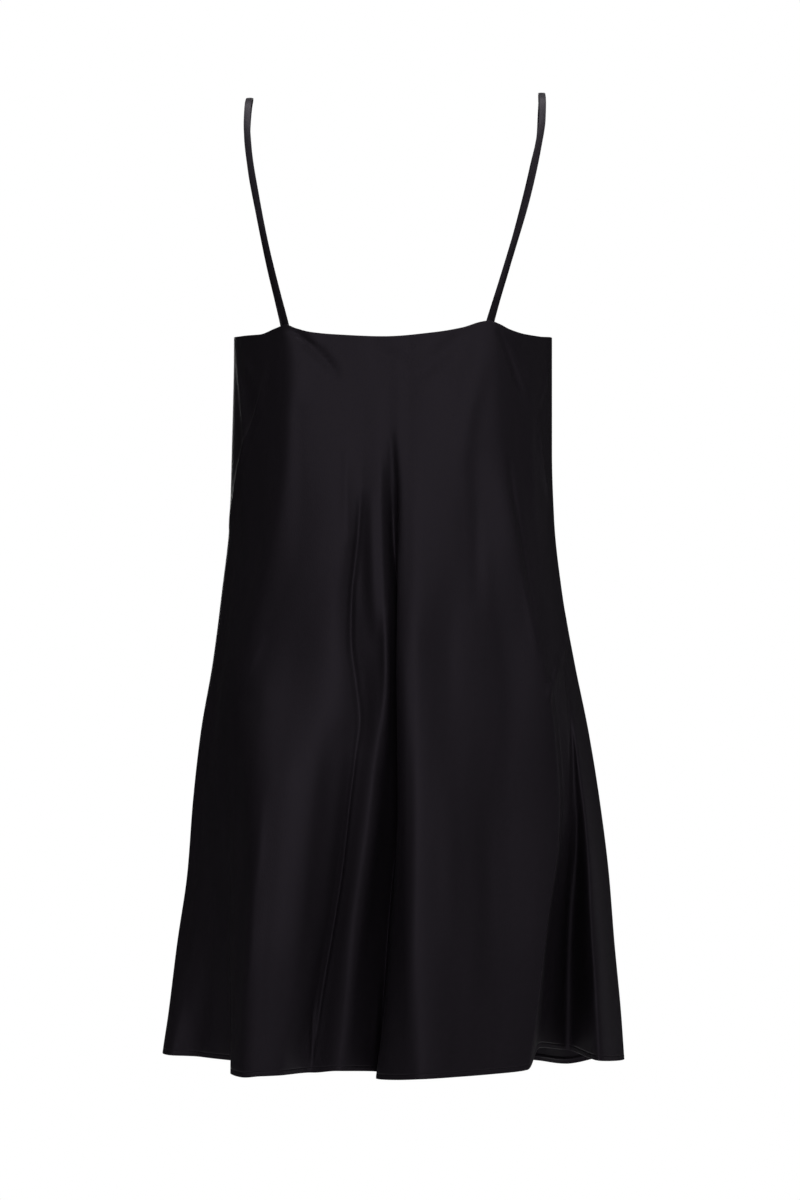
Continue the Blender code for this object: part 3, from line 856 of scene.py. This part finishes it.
def make_strap(strap):
    """One strap as a domed band with a wall."""
    middle, sideways, outward = strap_frame(strap)
    shares = np.array(STRAP_SECTION[::-1])
    drop = STRAP_CROWN * shares**2
    points = (
        middle[:, None]
        + sideways[:, None] * (shares * STRAP_WIDTH / 2)[None, :, None]
        - outward[:, None] * drop[None, :, None]
    )
    return make_cloth(strap.name + "_satin", points, STRAP_WALL)


straps = {strap.name: make_strap(strap) for strap in STRAPS}
for strap in STRAPS:
    middle, _, outward = strap_frame(strap)
    length = np.linalg.norm(np.diff(middle, axis=0), axis=1).sum()
    print(strap.name, round(length), "mm long, outward at the shoulder:", outward[STRAP_STEPS // 2].round(2))

# %% [markdown]
# ## Seam allowances and hem stitches
#
# At each side seam the two panels are sewn together, and what lies beyond the stitching, the seam allowance,
# is pressed flat inside the dress. It is a narrow strip that follows the inner faces of both panels, and its
# ends lie under the turned edges. It takes its place from the panels' own points, so it follows every fold.

# %% Make the seam allowances
ALLOWANCE_WIDTH = 9.0  # to each side of the seam
ALLOWANCE_WALL = 0.4
ALLOWANCE_GAP = 0.25  # between a panel's inner face and the allowance
ALLOWANCE_ROWS = slice(HEM_ROWS.index(4.8), -EDGE_ROWS.index(7.6))  # from under the hem to under the top edge


def allowance_points(ending, starting):
    """The points of a strip that runs from the last columns of one panel to the first of the next."""
    sides = []
    for name, order in ((ending, -1), (starting, 1)):
        points = cloth_points[name]
        inner = points - face_normals(points) * (CLOTH_WALL + ALLOWANCE_GAP)
        inner = inner[ALLOWANCE_ROWS, ::order]
        steps = np.linalg.norm(np.diff(inner, axis=1), axis=-1).mean(axis=0).cumsum()
        count = int(np.searchsorted(steps, ALLOWANCE_WIDTH)) + 1
        sides.append(inner[:, :count])
    return np.concatenate([sides[0][:, ::-1], sides[1]], axis=1)


allowances = {}
for side, ending, starting in (("left", "front_panel", "back_panel"), ("right", "back_panel", "front_panel")):
    strip = allowance_points(ending, starting)
    allowances[side] = make_cloth("seam_allowance_" + side, strip, ALLOWANCE_WALL)
    print(allowances[side].name, len(allowances[side].data.polygons), "faces before the wall")

# %% [markdown]
# ### Hem stitches
#
# The hem is turned up and held by one row of machine stitches. A line drawn in the material would do from
# afar, but each is made as a short bar of thread that lies in a shallow furrow, so the row shows from close
# by too.

# %% Make the stitches
STITCH_PITCH = 2.8
STITCH_LENGTH = 2.1
STITCH_WIDTH = 0.45
STITCH_HEIGHT = 0.3  # out of the cloth


def make_stitches(name, points):
    """One row of stitches along the hem of a panel: as many short bars as fit."""
    line = points[STITCH_ROW]
    outward = face_normals(points)[STITCH_ROW]
    travelled = np.concatenate([[0], np.linalg.norm(np.diff(line, axis=0), axis=1).cumsum()])
    bm = bmesh.new()
    for place in np.arange(STITCH_PITCH, travelled[-1] - STITCH_PITCH, STITCH_PITCH):
        ends = [
            Vector([np.interp(place + step, travelled, line[:, axis]) for axis in range(3)])
            for step in (-STITCH_LENGTH / 2, STITCH_LENGTH / 2)
        ]
        out = Vector([np.interp(place, travelled, outward[:, axis]) for axis in range(3)])
        run = (ends[1] - ends[0]).normalized()
        side = out.cross(run).normalized()
        out = run.cross(side)
        turn = Matrix((run * STITCH_LENGTH, side * STITCH_WIDTH, out * STITCH_HEIGHT)).transposed()
        middle = (ends[0] + ends[1]) / 2
        bmesh.ops.create_cube(bm, size=1, matrix=Matrix.Translation(middle * MM) @ (turn * MM).to_4x4())
    bmesh.ops.recalc_face_normals(bm, faces=bm.faces)
    mesh = bpy.data.meshes.new(name)
    bm.to_mesh(mesh)
    bm.free()
    thing = bpy.data.objects.new(name, mesh)
    scene.collection.objects.link(thing)
    return thing


stitches = {name: make_stitches(name + "_hem_stitches", points) for name, points in cloth_points.items()}
for row in stitches.values():
    print(row.name, len(row.data.polygons), "faces")

# %% [markdown]
# ## Black satin
#
# The real cloth is a woven satin of polyester, dyed black. Long floating threads on its face give a soft
# sheen that runs in bands down the folds. The base colour is nearly black with a trace of violet, and the
# roughness lies between that of silk and that of a matt lining. Such dark cloth sends back little light, so
# its reflection is set far below that of bare plastic. The weave is far too fine to show at this distance, so
# it is drawn about ten times as coarse, as faint lines that run with the thread. It could be an image, but a
# noise stretched along the cloth map has no seams and never repeats.

# %% Satin
SATIN_BLACK = "#100e11"
SATIN_WORN = "#171418"
SATIN_GLINT = "#f6e7ff"
SATIN_ROUGHNESS = 0.5
SATIN_REFLECTION = 0.17
SATIN_SHEEN_ALONG = 0.35  # how far the threads draw out the sheen
MOTTLE_SCALE = (60, 8, 1)  # patches to a metre, across the cloth and along it
THREAD_SPACING = 0.0011  # metres: real threads lie 0.1 mm apart, too fine to see, so they are drawn coarser
THREAD_STRETCH = 0.4  # of the pattern along the threads: less than 1 draws it out
WEAVE_STRENGTH = 0.35
WEAVE_HEIGHT = 0.0003  # metres
MIX_A, MIX_B = 6, 7  # the colour sockets of a mix node


def make_satin(name):
    """A black satin whose threads run along the cloth map."""
    material = bpy.data.materials.new(name)
    material.use_nodes = True
    tree = material.node_tree
    shader = tree.nodes["Principled BSDF"]
    shader.inputs["Roughness"].default_value = SATIN_ROUGHNESS
    shader.inputs["Specular IOR Level"].default_value = SATIN_REFLECTION
    shader.inputs["Specular Tint"].default_value = linear(SATIN_GLINT)
    shader.inputs["Anisotropic"].default_value = SATIN_SHEEN_ALONG
    place = add_node(tree, "ShaderNodeUVMap", uv_map="cloth")
    grain = add_node(tree, "ShaderNodeMapping", {"Vector": place.outputs[0], "Scale": MOTTLE_SCALE})
    mottle = add_node(tree, "ShaderNodeTexNoise", {"Vector": grain.outputs[0], "Scale": 1.0, "Detail": 4.0})
    shades = {"Factor": mottle.outputs["Fac"], MIX_A: linear(SATIN_BLACK), MIX_B: linear(SATIN_WORN)}
    colour = add_node(tree, "ShaderNodeMix", shades, data_type="RGBA")
    tree.links.new(colour.outputs[2], shader.inputs["Base Color"])
    spacing = (1 / THREAD_SPACING, THREAD_STRETCH / THREAD_SPACING, 1)
    threads = add_node(tree, "ShaderNodeMapping", {"Vector": place.outputs[0], "Scale": spacing})
    weave = add_node(tree, "ShaderNodeTexNoise", {"Vector": threads.outputs[0], "Scale": 1.0, "Detail": 3.0})
    relief = {"Height": weave.outputs["Fac"], "Strength": WEAVE_STRENGTH, "Distance": WEAVE_HEIGHT}
    bump = add_node(tree, "ShaderNodeBump", relief)
    tree.links.new(bump.outputs[0], shader.inputs["Normal"])
    return material


satin = make_satin("black_polyester_satin_woven")
strap_satin = make_satin("black_polyester_satin_strap")
print("satin nodes:", [node.name for node in satin.node_tree.nodes])

# %% [markdown]
# ### Thread, and what each piece wears
#
# The hem is sewn with black spun polyester thread. Its fibres stand up a little, so it is matt, and it shows
# as a row of dull dots on the satin.

# %% Thread and materials
THREAD_BLACK = "#0b090c"
THREAD_ROUGHNESS = 0.8
THREAD_REFLECTION = 0.1

thread = bpy.data.materials.new("black_polyester_thread_spun")
thread.use_nodes = True
thread_shader = thread.node_tree.nodes["Principled BSDF"]
thread_shader.inputs["Base Color"].default_value = linear(THREAD_BLACK)
thread_shader.inputs["Roughness"].default_value = THREAD_ROUGHNESS
thread_shader.inputs["Specular IOR Level"].default_value = THREAD_REFLECTION
for pieces, material in ((cloths, satin), (straps, strap_satin), (allowances, satin), (stitches, thread)):
    for piece in pieces.values():
        piece.data.materials.append(material)
        print(piece.name, "wears", material.name)

# %% [markdown]
# ## What each piece stands for
#
# Each piece rides on the one body of the model and names the material slot that it wears. The panels and the
# straps also take the place of the plain solids under them.

for node, piece in {**cloths, **straps}.items():
    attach(piece, "root")
    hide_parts(node)
for thing in (*allowances.values(), *stitches.values()):
    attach(thing, "root")

# %% [markdown]
# ### The cut of the panels
#
# The size that the panels are cut to is measured over all the folds, along the cloth. The cut isn't a
# rectangle, because a slip is narrower at the bust than at the hem, so its area is worked out as well.

def cut_of(points):
    """The width, length and area, in metres, of the flat cut that a panel's points come from."""
    widths = np.linalg.norm(np.diff(points, axis=1), axis=-1).sum(axis=1)
    lengths = np.linalg.norm(np.diff(points, axis=0), axis=-1).sum(axis=0)
    along = np.cross(np.diff(points, axis=1)[:-1], np.diff(points, axis=0)[:, :-1])
    area = np.linalg.norm(along, axis=-1).sum()
    return widths.max() * MM, lengths.max() * MM, area * MM**2


for panel in PANELS:
    width, length, area = cut_of(cloth_points[panel.name])
    print(panel.name, "cut:", round(width, 3), "by", round(length, 3), "m, area", round(area, 3), "m2")
